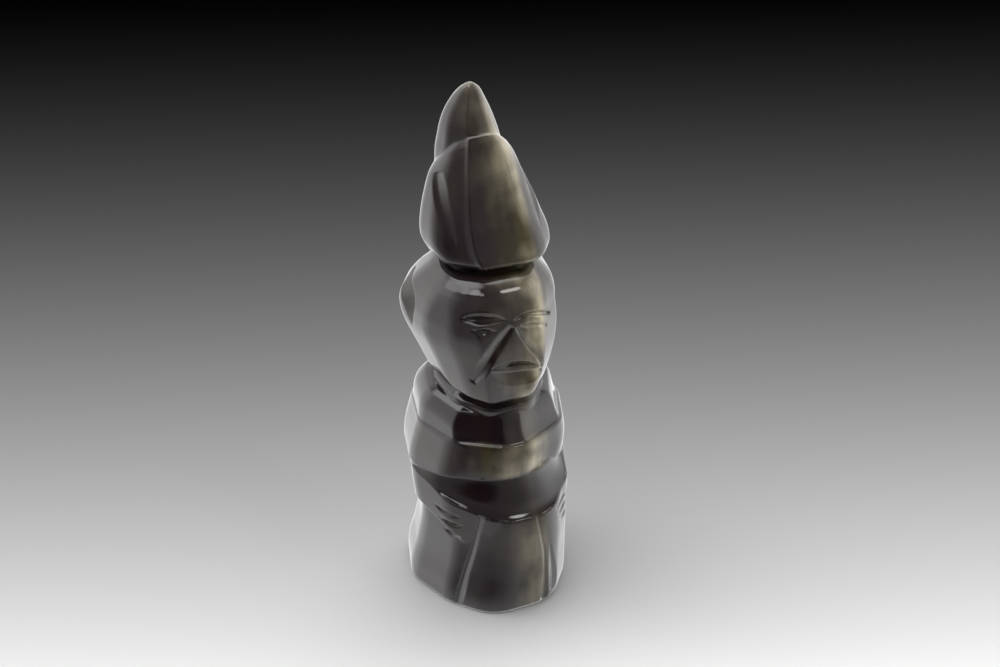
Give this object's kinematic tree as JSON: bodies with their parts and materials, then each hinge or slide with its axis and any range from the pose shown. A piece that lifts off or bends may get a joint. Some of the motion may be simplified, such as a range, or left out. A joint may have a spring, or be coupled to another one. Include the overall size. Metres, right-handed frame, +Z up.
{
  "type": "carved stone idol",
  "caption": "Standing idol carved in solid dark polished stone, with a tall peaked headdress, a simple face, folded forearms and a flat base.",
  "frame": {"origin": "middle of the flat underside, below the middle of the carving's box", "axes": "+Z up, -Y towards the figure's front, +X towards the figure's left hand"},
  "size_m": [0.0555, 0.0552, 0.18],
  "materials": {
    "polished_stone": "near-black brown stone polished to a glassy gloss, with soft olive and golden bands"
  },
  "bodies": {
    "root": {"idol": "polished_stone"}
  },
  "joints": []
}
